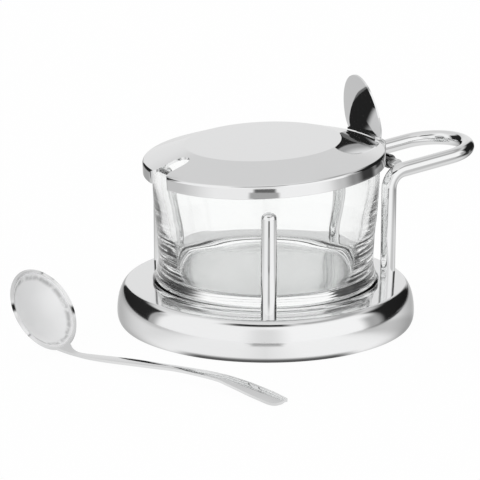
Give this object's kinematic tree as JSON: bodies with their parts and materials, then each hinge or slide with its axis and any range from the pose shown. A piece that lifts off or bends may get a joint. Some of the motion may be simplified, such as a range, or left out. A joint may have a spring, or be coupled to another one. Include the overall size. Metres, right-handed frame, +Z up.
{
  "type": "lidded serving dish",
  "caption": "Round serving dish for grated cheese: glass bowl on a polished base, rod handle, hinged lid with thumb lever and spoon slot, and a loose spoon.",
  "frame": {"origin": "centre of the base's underside, on the table", "axes": "+Z up; +X from the base's centre along the handle; +Y across, along the hinge bar"},
  "size_m": [0.2062, 0.1531, 0.095],
  "materials": {
    "base_steel": "mirror-polished stainless steel",
    "rod_steel": "mirror-polished stainless steel rod",
    "lid_steel": "polished stainless steel sheet",
    "lever_steel": "mirror-polished stainless steel",
    "spoon_steel": "polished stainless steel",
    "fastener_steel": "plain bright steel",
    "clear_glass": "clear smooth pressed glass",
    "base_pad": "plain dark cover"
  },
  "bodies": {
    "stand": {"base_shell": "base_steel", "bottom_plate": "base_pad", "glass_bowl": "clear_glass", "handle_rod": "rod_steel", "hinge_bar": "rod_steel", "peg_front": "rod_steel", "peg_back": "rod_steel", "washer_peg_front": "fastener_steel", "washer_peg_back": "fastener_steel", "washer_leg_front": "fastener_steel", "washer_leg_back": "fastener_steel", "nut_peg_front": "fastener_steel", "nut_peg_back": "fastener_steel", "nut_leg_front": "fastener_steel", "nut_leg_back": "fastener_steel"},
    "lid": {"lid_shell": "lid_steel", "thumb_lever": "lever_steel", "hinge_strap": "lid_steel"},
    "spoon": {"spoon": "spoon_steel"}
  },
  "joints": [
    {"name": "lid_hinge", "type": "hinge", "parent": "stand", "child": "lid", "pos_m": [0.0543, 0, 0.05933], "axis": [0, 1, 0], "range_deg": [0, 90]},
    {"name": "spoon_lift", "type": "slide", "parent": "stand", "child": "spoon", "axis": [0, 0, 1], "range_m": [0, 0.1]}
  ]
}
